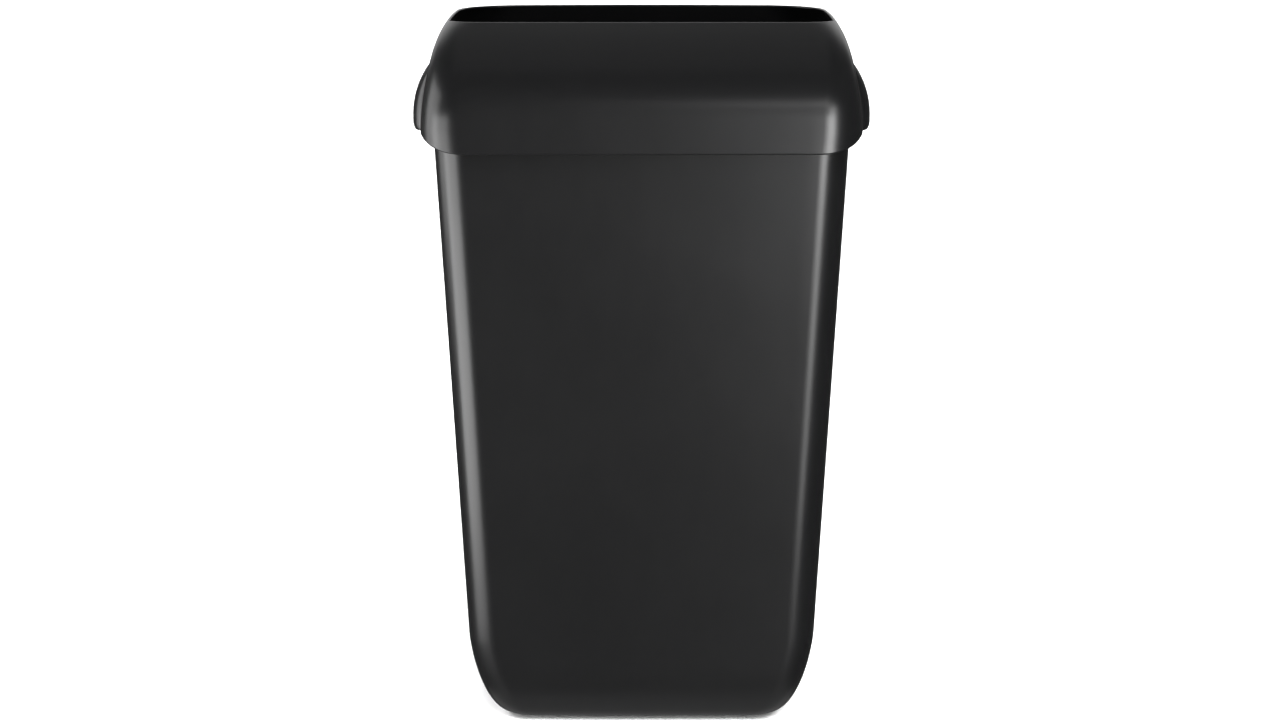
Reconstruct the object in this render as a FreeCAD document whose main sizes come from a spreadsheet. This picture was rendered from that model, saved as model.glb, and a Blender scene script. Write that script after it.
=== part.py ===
import FreeCAD, Part
import math
import os
import Sketcher
from FreeCAD import Placement, Rotation, Vector

# An open-top litter bin: a tapered moulded tub, a lift-off hood with two finger grips, a hinged wire
# ring that holds the bag, and a hanger plate that drops over a wall bracket.
# Frame: millimetres, +Z up, the front faces -Y, the origin is on the floor under the middle of the bin.

os.makedirs("parts", exist_ok=True)
doc = FreeCAD.newDocument("LitterBin")

# ---------------------------------------------------------------- driving dimensions

DRIVING = {
    "overall_height": 670,
    "rim_height": 600,
    "pad_height": 3,
    "wall": 2.8,
    # The tub's taper, from where its walls would meet the floor up to its rim.
    "tub_half_low": 161.5,
    "tub_half_high": 189,
    "tub_front_low": 99,
    "tub_front_high": 136,
    "tub_back_low": 118,
    "tub_back_high": 136,
    "tub_corner": 29,
    "tub_corner_low": 32,
    # The rounding between the tub's walls and its floor: how high it starts and how far it draws in.
    "side_round_height": 85,
    "side_round": 29.3,
    "front_round_height": 58,
    "front_round": 25,
    "rim_overhang": 4.5,
    "rim_depth": 12,
    # The hood: a straight skirt below, then sides and front that lean in to the mouth.
    "hood_half": 199.2,
    "hood_depth_half": 145,
    "hood_front_hem": 558,
    "hem_slope": 25.2,
    "hem_sweep": 40,
    "hood_front_corner_low": 39,
    "hood_front_corner_high": 22,
    "hood_back_corner_low": 36,
    "hood_back_corner_high": 58,
    "side_lean": 14,
    "side_roll": 7.7,
    "side_lean_start": 577,
    "front_lean": 78,
    "front_lean_start": 598,
    "back_lean": 15,
    # The finger grips.
    "grip_reach": 214,
    "grip_length": 124,
    "grip_bottom": 568,
    "grip_top": 632,
    "grip_bulge": 78,
    "grip_end_radius": 14,
    # The bag ring and its hinge.
    "ring_height": 560,
    "ring_half": 172,
    "ring_front": 127.5,
    "ring_axis": 124.2,
    "ring_corner": 24,
    "wire_radius": 3,
    "clip_offset": 90,
    # The hanger and the wall bracket.
    "hanger_face": 136,
    "sheet": 1.5,
    "bracket_sheet": 2,
    "tongue_half": 40,
    "bracket_half": 60,
    "bracket_hole_radius": 3.25,
    "screw_radius": 2.5,
}

sheet = doc.addObject("Spreadsheet::Sheet", "sizes")
for row, (alias, number) in enumerate(DRIVING.items(), start=1):
    sheet.set(f"A{row}", alias)
    sheet.set(f"B{row}", str(number))
    sheet.setAlias(f"B{row}", alias)
doc.recompute()


class Size:
    """A length in millimetres together with the spreadsheet formula that gives it."""

    def __init__(self, value, formula=None):
        self.value = float(value)
        self.formula = formula or f"({self.value:.6f})"

    def joined(self, other, symbol, value):
        return Size(value, f"({self.formula} {symbol} {other.formula})")

    def __add__(self, other):
        other = as_size(other)
        return self.joined(other, "+", self.value + other.value)

    def __sub__(self, other):
        other = as_size(other)
        return self.joined(other, "-", self.value - other.value)

    def __mul__(self, factor):
        factor = as_size(factor)
        return self.joined(factor, "*", self.value * factor.value)

    def __truediv__(self, other):
        other = as_size(other)
        return self.joined(other, "/", self.value / other.value)

    def __neg__(self):
        return Size(0) - self


def as_size(number):
    return number if isinstance(number, Size) else Size(number)


def cell(alias):
    return Size(DRIVING[alias], f"sizes.{alias}")


# ---------------------------------------------------------------- helpers for bodies and sketches


def new_body(label):
    body = doc.addObject("PartDesign::Body", label)
    body.Label = label
    return body


def origin_plane(body, role):
    return next(feature for feature in body.Origin.OriginFeatures if feature.Role == role)


def new_sketch(body, role, name, offset=0):
    """A sketch on one of the body's origin planes, moved along the plane's normal."""
    sketch = body.newObject("Sketcher::SketchObject", name)
    sketch.AttachmentSupport = [(origin_plane(body, role), "")]
    sketch.MapMode = "FlatFace"
    sketch.setExpression("AttachmentOffset.Base.z", as_size(offset).formula)
    return sketch


def tie(sketch, kind, places, amount):
    """Adds a dimension to a sketch and ties it to its formula."""
    amount = as_size(amount)
    index = sketch.addConstraint(Sketcher.Constraint(kind, *places, amount.value))
    sketch.setExpression(f"Constraints[{index}]", amount.formula)


def add_rounded_rectangle(sketch, half, front, back, radius, back_radius=None):
    """A rectangle from -half to +half and from -front to +back, with round corners. The two at the
    back share a radius of their own where one is given."""
    w, f, b, r = half.value, front.value, back.value, radius.value
    back_radius = back_radius or radius
    q = back_radius.value
    up = Vector(0, 0, 1)
    first = sketch.GeometryCount
    quarter = math.pi / 2
    lines = [
        ((-w + r, -f), (w - r, -f)),
        ((w, -f + r), (w, b - q)),
        ((w - q, b), (-w + q, b)),
        ((-w, b - q), (-w, -f + r)),
    ]
    centres = [(w - r, -f + r), (w - q, b - q), (-w + q, b - q), (-w + r, -f + r)]
    radii = [r, q, q, r]
    for number, (start, end) in enumerate(lines):
        sketch.addGeometry(Part.LineSegment(Vector(*start, 0), Vector(*end, 0)))
        circle = Part.Circle(Vector(*centres[number], 0), up, radii[number])
        turn = quarter * (number - 1)
        sketch.addGeometry(Part.ArcOfCircle(circle, turn, turn + quarter))
    for number in range(4):
        line = first + 2 * number
        arc = line + 1
        following = first + (2 * number + 2) % 8
        sketch.addConstraint(Sketcher.Constraint("Tangent", line, 2, arc, 1))
        sketch.addConstraint(Sketcher.Constraint("Tangent", arc, 2, following, 1))
        sketch.addConstraint(Sketcher.Constraint("Vertical" if number % 2 else "Horizontal", line))
    front_right, back_right, back_left, front_left = range(first + 1, first + 8, 2)
    sketch.addConstraint(Sketcher.Constraint("Equal", front_right, front_left))
    sketch.addConstraint(Sketcher.Constraint("Equal", back_right, back_left))
    tie(sketch, "Radius", (front_right,), radius)
    tie(sketch, "Radius", (back_right,), back_radius)
    tie(sketch, "DistanceY", (first, 1), -front)
    tie(sketch, "DistanceX", (first + 2, 1), half)
    tie(sketch, "DistanceY", (first + 4, 1), back)
    tie(sketch, "DistanceX", (first + 6, 1), -half)


def add_polygon(sketch, corners):
    """A closed polygon whose corners are each tied to their own two formulas."""
    corners = [(as_size(x), as_size(y)) for x, y in corners]
    first = sketch.GeometryCount
    for number, (x, y) in enumerate(corners):
        next_x, next_y = corners[(number + 1) % len(corners)]
        start = Vector(x.value, y.value, 0)
        end = Vector(next_x.value, next_y.value, 0)
        sketch.addGeometry(Part.LineSegment(start, end))
    for number, (x, y) in enumerate(corners):
        line = first + number
        following = first + (number + 1) % len(corners)
        sketch.addConstraint(Sketcher.Constraint("Coincident", line, 2, following, 1))
        tie(sketch, "DistanceX", (line, 1), x)
        tie(sketch, "DistanceY", (line, 1), y)


def add_box(sketch, left, right, low, high):
    add_polygon(sketch, [(left, low), (right, low), (right, high), (left, high)])


def add_circle(sketch, x, y, radius):
    x, y, radius = as_size(x), as_size(y), as_size(radius)
    circle = Part.Circle(Vector(x.value, y.value, 0), Vector(0, 0, 1), radius.value)
    index = sketch.addGeometry(circle)
    tie(sketch, "Radius", (index,), radius)
    tie(sketch, "DistanceX", (index, 3), x)
    tie(sketch, "DistanceY", (index, 3), y)


def pad(body, sketch, length, reverse=False, symmetric=False):
    feature = body.newObject("PartDesign::Pad", sketch.Name + "_pad")
    feature.Profile = sketch
    feature.setExpression("Length", as_size(length).formula)
    feature.Reversed = reverse
    feature.Midplane = symmetric
    return feature


def pocket(body, sketch, length, reverse=False, symmetric=False):
    feature = body.newObject("PartDesign::Pocket", sketch.Name + "_pocket")
    feature.Profile = sketch
    feature.setExpression("Length", as_size(length).formula)
    feature.Reversed = reverse
    feature.Midplane = symmetric
    return feature


def loft(body, name, sketches, cut=False, straight=False):
    kind = "PartDesign::SubtractiveLoft" if cut else "PartDesign::AdditiveLoft"
    feature = body.newObject(kind, name)
    feature.Profile = sketches[0]
    feature.Sections = sketches[1:]
    feature.Ruled = straight
    return feature


def fillet(body, base, name, radius, chosen):
    """Rounds the edges of a feature that the test picks."""
    doc.recompute()
    edges = [f"Edge{number}" for number, edge in enumerate(base.Shape.Edges, start=1) if chosen(edge)]
    feature = body.newObject("PartDesign::Fillet", name)
    feature.Base = (base, edges)
    feature.setExpression("Radius", as_size(radius).formula)
    return feature


def part_object(kind, label, sizes, position=(0, 0, 0), turn=None):
    """A Part primitive with its sizes and its place tied to formulas."""
    item = doc.addObject(kind, label)
    item.Label = label
    for name, amount in sizes.items():
        item.setExpression(name, as_size(amount).formula)
    if turn is not None:
        item.Placement = Placement(Vector(0, 0, 0), turn)
    for axis, amount in zip("xyz", position):
        item.setExpression(f"Placement.Base.{axis}", as_size(amount).formula)
    return item


def part_join(kind, label, pieces):
    item = doc.addObject(kind, label)
    item.Label = label
    if kind == "Part::Compound":
        item.Links = pieces
    else:
        item.Shapes = pieces
    return item


def part_cut(label, base, tool):
    item = doc.addObject("Part::Cut", label)
    item.Label = label
    item.Base = base
    item.Tool = tool
    return item


ALONG_X = Rotation(Vector(0, 1, 0), 90)
ALONG_Y = Rotation(Vector(1, 0, 0), -90)
AGAINST_Y = Rotation(Vector(1, 0, 0), 90)

wall = cell("wall")
rim_height = cell("rim_height")
pad_height = cell("pad_height")

# ---------------------------------------------------------------- the tub

REAR_SCREW_OFFSET = 56
REAR_SCREW_HEIGHTS = (474, 502)
REAR_SCREWS = [(side * REAR_SCREW_OFFSET, z) for side in (-1, 1) for z in REAR_SCREW_HEIGHTS]
HANGER_BOSS_HALF = 70
HANGER_BOSS_BOTTOM, HANGER_BOSS_TOP = 452, 522
HANGER_BOSS_DEPTH = 7.5
CLIP_BOSS_HALF = 10
CLIP_BOSS_BOTTOM, CLIP_BOSS_TOP = 541, 579
CLIP_BOSS_DEPTH = 6.2
CLIP_SCREW_RISE = 13
CLIP_PILOT_DEPTH = 6.5
RING_WELD_GAP = 0.05
RING_BAR_OVERRUN = 0.5
LEDGE_DEPTH = 6
LEDGE_HALF = 15
LEDGE_INNER, LEDGE_OUTER = 172, 185.5
FRONT_LEDGE_INNER, FRONT_LEDGE_OUTER = 121, 132
PAD_PLACES = {
    "front_left": (-98, -50),
    "front_right": (98, -50),
    "rear_left": (-98, 70),
    "rear_right": (98, 70),
}


def tapered(low, high, height):
    """A straight taper of the tub's wall, measured at a height."""
    return cell(low) + (cell(high) - cell(low)) * height / rim_height


SIDE_ROUND_POWER = 1.62
FRONT_ROUND_POWER = 2.5
ROUND_STEPS = 6


def drawn_in(height, floor, rise, reach, power):
    """How far the bottom rounding draws a wall in at a height: a superellipse's quarter."""
    shoulder = pad_height.value + rise.value
    depth = min(1.0, max(0.0, (shoulder - height.value) / (shoulder - floor.value)))
    return reach * (1 - (1 - depth**power) ** (1 / power))


def tub_section(body, name, height, floor=None, inset=0):
    """One level of the tub. With a floor given, the level lies in the bottom rounding."""
    height = as_size(height)
    sketch = new_sketch(body, "XY_Plane", name, height)
    side, front, corner = as_size(inset), as_size(inset), cell("tub_corner")
    if floor is not None:
        rise = cell("side_round_height")
        side += drawn_in(height, floor, rise, cell("side_round"), SIDE_ROUND_POWER)
        front_rise = cell("front_round_height")
        front += drawn_in(height, floor, front_rise, cell("front_round"), FRONT_ROUND_POWER)
        depth = (pad_height.value + rise.value - height.value) / rise.value
        corner = corner + (cell("tub_corner_low") - cell("tub_corner")) * depth
    add_rounded_rectangle(
        sketch,
        tapered("tub_half_low", "tub_half_high", height) - side,
        tapered("tub_front_low", "tub_front_high", height) - front,
        tapered("tub_back_low", "tub_back_high", height) - front,
        corner - inset,
    )
    return sketch


def tub_solid(body, name, floor, top, inset, cut):
    """The tub's outside or inside: a rounded bottom, then straight walls."""
    shoulder = pad_height + cell("side_round_height")
    sections = []
    for step in range(ROUND_STEPS, -1, -1):
        angle = math.pi / 2 * step / ROUND_STEPS
        height = shoulder - (shoulder - floor) * math.sin(angle)
        sections.append(tub_section(body, f"{name}_level_{step}", height, floor, inset))
    loft(body, f"{name}_bottom", sections, cut=cut)
    low = tub_section(body, f"{name}_low", shoulder, inset=inset)
    high = tub_section(body, f"{name}_high", top, inset=inset)
    loft(body, f"{name}_walls", [low, high], cut=cut, straight=True)


def bin_body():
    body = new_body("bin_body")
    tub_solid(body, "outside", pad_height, rim_height, Size(0), cut=False)

    rim = new_sketch(body, "XY_Plane", "rim", rim_height - cell("rim_depth"))
    overhang = cell("rim_overhang")
    half, front, back = cell("tub_half_high"), cell("tub_front_high"), cell("tub_back_high")
    corner = cell("tub_corner")
    add_rounded_rectangle(rim, half + overhang, front + overhang, back + overhang, corner + overhang)
    pad(body, rim, cell("rim_depth"))

    # The hollow under the rolled rim.
    hollow = new_sketch(body, "XY_Plane", "rim_hollow", rim_height - cell("rim_depth"))
    lip = wall * 0.7
    outer = overhang - lip
    add_rounded_rectangle(hollow, half + outer, front + outer, back + outer, corner + outer)
    add_rounded_rectangle(hollow, half, front, back, corner)
    pocket(body, hollow, cell("rim_depth") - lip, reverse=True)

    # A flat boss that carries the hanger plate, and two small ones for the ring clips.
    boss_base = cell("hanger_face") - HANGER_BOSS_DEPTH
    boss = new_sketch(body, "XZ_Plane", "hanger_boss", -boss_base)
    add_box(boss, -HANGER_BOSS_HALF, HANGER_BOSS_HALF, HANGER_BOSS_BOTTOM, HANGER_BOSS_TOP)
    pad(body, boss, HANGER_BOSS_DEPTH, reverse=True)

    tub_solid(body, "inside", pad_height + wall, rim_height + 0.5, wall, cut=True)

    inner_boss = new_sketch(body, "XZ_Plane", "inner_boss", -boss_base)
    add_box(inner_boss, -HANGER_BOSS_HALF, HANGER_BOSS_HALF, HANGER_BOSS_BOTTOM, HANGER_BOSS_TOP)
    pad(body, inner_boss, 6, reverse=True)
    clip_face = cell("ring_axis") + cell("wire_radius") + 0.3
    clip_boss = new_sketch(body, "XZ_Plane", "clip_boss", -clip_face)
    for side in (-1, 1):
        middle = cell("clip_offset") * side
        left, right = middle - CLIP_BOSS_HALF, middle + CLIP_BOSS_HALF
        add_box(clip_boss, left, right, CLIP_BOSS_BOTTOM, CLIP_BOSS_TOP)
    pad(body, clip_boss, CLIP_BOSS_DEPTH, reverse=True)

    # Ledges under the ring: one at each side, one in front.
    ledge_top = cell("ring_height") - cell("wire_radius") - 0.4
    ledges = new_sketch(body, "XY_Plane", "ring_ledges", ledge_top - LEDGE_DEPTH)
    add_box(ledges, -LEDGE_OUTER, -LEDGE_INNER, -LEDGE_HALF, LEDGE_HALF)
    add_box(ledges, LEDGE_INNER, LEDGE_OUTER, -LEDGE_HALF, LEDGE_HALF)
    add_box(ledges, -LEDGE_HALF, LEDGE_HALF, -FRONT_LEDGE_OUTER, -FRONT_LEDGE_INNER)
    pad(body, ledges, LEDGE_DEPTH)

    feet = new_sketch(body, "XY_Plane", "foot_holes", 20)
    for x, y in PAD_PLACES.values():
        add_circle(feet, x, y, 4)
    pocket(body, feet, 20)

    screws = new_sketch(body, "XZ_Plane", "screw_holes", -120)
    for x, z in REAR_SCREWS:
        add_circle(screws, x, z, cell("screw_radius") + 0.2)
    pocket(body, screws, 30)
    pilots = new_sketch(body, "XZ_Plane", "clip_pilots", -clip_face)
    for side in (-1, 1):
        for rise in (-CLIP_SCREW_RISE, CLIP_SCREW_RISE):
            add_circle(pilots, cell("clip_offset") * side, cell("ring_height") + rise, 2)
    pocket(body, pilots, CLIP_PILOT_DEPTH)
    return body


def foot_pad(label, x, y):
    """A rubber foot with a stem and a small head that snaps through the tub's floor."""
    body = new_body(label)
    sketch = new_sketch(body, "XZ_Plane", label + "_outline")
    neck = pad_height + wall
    add_polygon(
        sketch,
        [
            (0, 0),
            (10.5, 0),
            (12, 1.5),
            (12, pad_height),
            (3.9, pad_height),
            (3.9, neck + 0.1),
            (5.6, neck + 0.1),
            (3.6, neck + 2.4),
            (0, neck + 2.4),
        ],
    )
    turned = body.newObject("PartDesign::Revolution", label + "_turned")
    turned.Profile = sketch
    turned.ReferenceAxis = (sketch, ["V_Axis"])
    turned.Angle = 360
    body.Placement = Placement(Vector(x, y, 0), Rotation())
    return body


# ---------------------------------------------------------------- the hanger and the wall bracket


def hanger_plate():
    """A hat section: two flanges on the boss and a raised web that drops over the tongue."""
    body = new_body("hanger_plate")
    face, gauge = cell("hanger_face"), cell("sheet")
    inner = cell("tongue_half") + 2
    outer = inner + gauge
    web = face + cell("bracket_sheet") + 1.6
    hat = new_sketch(body, "XY_Plane", "hat", 460)
    add_polygon(
        hat,
        [
            (-66, face),
            (-inner, face),
            (-inner, web),
            (inner, web),
            (inner, face),
            (66, face),
            (66, face + gauge),
            (outer, face + gauge),
            (outer, web + gauge),
            (-outer, web + gauge),
            (-outer, face + gauge),
            (-66, face + gauge),
        ],
    )
    pad(body, hat, 54)
    stop = new_sketch(body, "XY_Plane", "hat_stop", 514)
    add_box(stop, -outer, outer, face, web + gauge)
    pad(body, stop, gauge)
    holes = new_sketch(body, "XZ_Plane", "hat_holes", -130)
    for x, z in REAR_SCREWS:
        add_circle(holes, x, z, cell("screw_radius") + 0.2)
    pocket(body, holes, 12)
    return body


def wall_bracket():
    """A joggled plate: flat on the wall below, with a tongue that stands off the wall above."""
    body = new_body("wall_bracket")
    gauge = cell("bracket_sheet")
    wall_face = cell("hood_depth_half")
    tongue = cell("hanger_face") + 0.8
    plate = new_sketch(body, "YZ_Plane", "bracket_plate")
    add_box(plate, wall_face - gauge, wall_face, 372, 448)
    pad(body, plate, cell("bracket_half") * 2, symmetric=True)
    joggle = new_sketch(body, "YZ_Plane", "bracket_tongue")
    add_polygon(
        joggle,
        [
            (tongue, 446),
            (wall_face, 446),
            (wall_face, 448),
            (tongue + gauge, 448),
            (tongue + gauge, 511.5),
            (tongue + gauge * 0.7, 513.5),
            (tongue + gauge * 0.3, 513.5),
            (tongue, 511.5),
        ],
    )
    pad(body, joggle, cell("tongue_half") * 2, symmetric=True)
    holes = new_sketch(body, "XZ_Plane", "bracket_holes", -(wall_face - 10))
    for x in (-45, 45):
        for z in (392, 428):
            add_circle(holes, x, z, cell("bracket_hole_radius"))
    pocket(body, holes, 12)
    return body


def hanger_fixings():
    """Machine screws from behind, with hex nuts inside the tub."""
    face, gauge, radius = cell("hanger_face"), cell("sheet"), cell("screw_radius")
    screws = []
    nuts = []
    for number, (x, z) in enumerate(REAR_SCREWS, start=1):
        head = {"Radius1": 4.7, "Radius2": 3.2, "Height": 2.6}
        seat = face + gauge
        screws.append(part_object("Part::Cone", f"screw_head_{number}", head, (x, seat, z), ALONG_Y))
        shank = {"Radius": radius, "Height": 16}
        screws.append(part_object("Part::Cylinder", f"screw_{number}", shank, (x, seat, z), AGAINST_Y))
        hexagon = {"Circumradius": 4.6, "Height": 4}
        inner_face = face - HANGER_BOSS_DEPTH
        blank = part_object("Part::Prism", f"nut_blank_{number}", hexagon, (x, inner_face, z), AGAINST_Y)
        bore = {"Radius": radius + 0.05, "Height": 8}
        hole = part_object("Part::Cylinder", f"nut_bore_{number}", bore, (x, inner_face + 1, z), AGAINST_Y)
        nuts.append(part_cut(f"nut_{number}", blank, hole))
    return [
        part_join("Part::MultiFuse", "hanger_screws", screws),
        part_join("Part::Compound", "hanger_nuts", nuts),
    ]


# ---------------------------------------------------------------- the bag ring and its hinge


def ring_clip(label, side):
    """A pressed saddle: a flange on the boss, arched over the ring's rear bar."""
    middle, level = cell("clip_offset") * side, cell("ring_height")
    axis, wire, gauge = cell("ring_axis"), cell("wire_radius"), cell("sheet")
    left = middle - 8
    face = axis + wire + 0.3
    arch_radius = wire + 0.08 + gauge
    flange = {"Length": 16, "Width": gauge, "Height": 36}
    legs = {"Length": 16, "Width": face - axis, "Height": arch_radius * 2}
    arch = {"Radius": arch_radius, "Height": 16}
    bore = {"Radius": wire + 0.08, "Height": 20}
    throat = {"Length": 20, "Width": face - axis + 1, "Height": (wire + 0.08) * 2}
    behind = {"Length": 20, "Width": 5, "Height": 16}
    solid = part_join(
        "Part::MultiFuse",
        label + "_solid",
        [
            part_object("Part::Box", label + "_flange", flange, (left, face - gauge, level - 18)),
            part_object("Part::Box", label + "_legs", legs, (left, axis, level - arch_radius)),
            part_object("Part::Cylinder", label + "_arch", arch, (left, axis, level), ALONG_X),
        ],
    )
    holes = [
        part_object("Part::Cylinder", label + "_bore", bore, (left - 2, axis, level), ALONG_X),
        part_object("Part::Box", label + "_throat", throat, (left - 2, axis, level - wire - 0.08)),
        part_object("Part::Box", label + "_behind", behind, (left - 2, face, level - 8)),
    ]
    for number, rise in enumerate((-CLIP_SCREW_RISE, CLIP_SCREW_RISE), start=1):
        hole = {"Radius": 2.1, "Height": 10}
        place = (middle, face - 5, level + rise)
        holes.append(part_object("Part::Cylinder", f"{label}_hole_{number}", hole, place, ALONG_Y))
    return part_cut(label, solid, part_join("Part::MultiFuse", label + "_holes", holes))


def clip_screws():
    """Self-tapping screws that hold the clips to the bosses inside the tub."""
    seat = cell("ring_axis") + cell("wire_radius") + 0.3 - cell("sheet")
    pieces = []
    for side in (-1, 1):
        for rise in (-CLIP_SCREW_RISE, CLIP_SCREW_RISE):
            place = (cell("clip_offset") * side, seat, cell("ring_height") + rise)
            name = f"clip_screw_{'left' if side < 0 else 'right'}_{'low' if rise < 0 else 'high'}"
            head = {"Radius1": 3.8, "Radius2": 2.8, "Height": 1.8}
            shank = {"Radius": 1.95, "Height": cell("sheet") + CLIP_PILOT_DEPTH - 0.5}
            pieces.append(part_object("Part::Cone", name + "_head", head, place, AGAINST_Y))
            pieces.append(part_object("Part::Cylinder", name + "_shank", shank, place, ALONG_Y))
    return part_join("Part::MultiFuse", "clip_screws", pieces)


def ring_bow():
    """Round steel wire bent to a U: a front bar, two bends and two arms that meet the hinge bar."""
    body = new_body("ring_bow")
    level, radius = cell("ring_height"), cell("wire_radius")
    half, front, corner = cell("ring_half"), cell("ring_front"), cell("ring_corner")
    arm_end = cell("ring_axis") - radius - RING_WELD_GAP
    path = new_sketch(body, "XY_Plane", "bow_path", level)
    up = Vector(0, 0, 1)
    w, f, r, end = half.value, front.value, corner.value, arm_end.value
    right_bend = Part.Circle(Vector(w - r, r - f, 0), up, r)
    left_bend = Part.Circle(Vector(r - w, r - f, 0), up, r)
    path.addGeometry(Part.LineSegment(Vector(w, end, 0), Vector(w, r - f, 0)))
    path.addGeometry(Part.ArcOfCircle(right_bend, -math.pi / 2, 0))
    path.addGeometry(Part.LineSegment(Vector(w - r, -f, 0), Vector(r - w, -f, 0)))
    path.addGeometry(Part.ArcOfCircle(left_bend, math.pi, math.pi * 1.5))
    path.addGeometry(Part.LineSegment(Vector(-w, r - f, 0), Vector(-w, end, 0)))
    for pair in ((0, 2, 1, 2), (1, 1, 2, 1), (2, 2, 3, 2), (3, 1, 4, 1)):
        path.addConstraint(Sketcher.Constraint("Tangent", *pair))
    path.addConstraint(Sketcher.Constraint("Vertical", 0))
    path.addConstraint(Sketcher.Constraint("Horizontal", 2))
    path.addConstraint(Sketcher.Constraint("Vertical", 4))
    path.addConstraint(Sketcher.Constraint("Equal", 1, 3))
    tie(path, "Radius", (1,), corner)
    tie(path, "DistanceX", (0, 1), half)
    tie(path, "DistanceY", (0, 1), arm_end)
    tie(path, "DistanceY", (2, 1), -front)
    tie(path, "DistanceX", (4, 2), -half)
    tie(path, "DistanceY", (4, 2), arm_end)
    section = new_sketch(body, "XZ_Plane", "bow_section", -arm_end)
    add_circle(section, half, level, radius)
    pipe = body.newObject("PartDesign::AdditivePipe", "bow_wire")
    pipe.Profile = section
    pipe.Spine = path
    return body


def ring_hinge_bar():
    """The straight rear bar, welded to both arms of the bow; it turns in the clips."""
    half = cell("ring_half") + RING_BAR_OVERRUN
    place = (-half, cell("ring_axis"), cell("ring_height"))
    bar = {"Radius": cell("wire_radius"), "Height": half * 2}
    return part_object("Part::Cylinder", "ring_hinge_bar", bar, place, ALONG_X)


# ---------------------------------------------------------------- the hood and its grips

mouth_height = cell("overall_height")
HOOD_LEVELS = tuple(range(0, 113, 14))
SIDE_LEAN_POWER = 1.3
SIDE_ROLL_POWER = 6.9
FRONT_LEAN_POWER = 1.75
BACK_LEAN_POWER = 1.5
HEM_CUT_REACH = 160
SEAT_RIB_HALF_GAUGE = 1.2
SIDE_RIB_PLACES = (-60, 0, 60)
SIDE_RIB_SPAN = (187.5, 195.5)
END_RIB_PLACES = (-80, 80)
END_RIB_SPAN = (133.5, 142.8)
GRIP_SCREW_PLACES = (-40, 50)
GRIP_SCREW_LEVEL = 614
GRIP_MIDDLE = 5
GRIP_KNEE = 580
GRIP_GAP = 0.3
GRIP_HOLLOW_START = 188
GRIP_BOSS_START = 196.2
GRIP_BOSS_LENGTH = 9.2
GRIP_PILOT_LENGTH = 15


def share(height, start):
    """How far a height is from start to the mouth, from 0 to 1."""
    return max(0.0, (height.value - start.value) / (mouth_height.value - start.value))


def hood_half(height):
    """The sides: straight, then leaning in, then rolling over at the mouth."""
    rise = share(height, cell("side_lean_start"))
    leaning = cell("side_lean") * rise**SIDE_LEAN_POWER
    return cell("hood_half") - leaning - cell("side_roll") * rise**SIDE_ROLL_POWER


def hood_front(height):
    rise = share(height, cell("front_lean_start"))
    return cell("hood_depth_half") - cell("front_lean") * rise**FRONT_LEAN_POWER


def hood_back(height):
    rise = share(height, cell("front_lean_start"))
    return cell("hood_depth_half") - cell("back_lean") * rise**BACK_LEAN_POWER


def hood_front_corner(height):
    rise = share(height, cell("hood_front_hem"))
    low, high = cell("hood_front_corner_low"), cell("hood_front_corner_high")
    return low + (high - low) * rise


def hood_back_corner(height):
    """The back corners grow rounder above the tub's rim."""
    rise = share(height, cell("front_lean_start"))
    low, high = cell("hood_back_corner_low"), cell("hood_back_corner_high")
    return low + (high - low) * rise


def inset_for(profile, height):
    """The wall's thickness measured level, which grows where the wall leans."""
    step = 0.5
    lean = (profile(height - step).value - profile(height).value) / step
    return wall * math.hypot(1, lean)


def hood_section(body, name, height, hollow):
    sketch = new_sketch(body, "XY_Plane", name, height)
    sides = [profile(height) for profile in (hood_half, hood_front, hood_back)]
    corners = [hood_front_corner(height), hood_back_corner(height)]
    if hollow:
        profiles = (hood_half, hood_front, hood_back)
        sides = [side - inset_for(profile, height) for side, profile in zip(sides, profiles)]
        corners = [corner - wall for corner in corners]
    add_rounded_rectangle(sketch, *sides, *corners)
    return sketch


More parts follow.
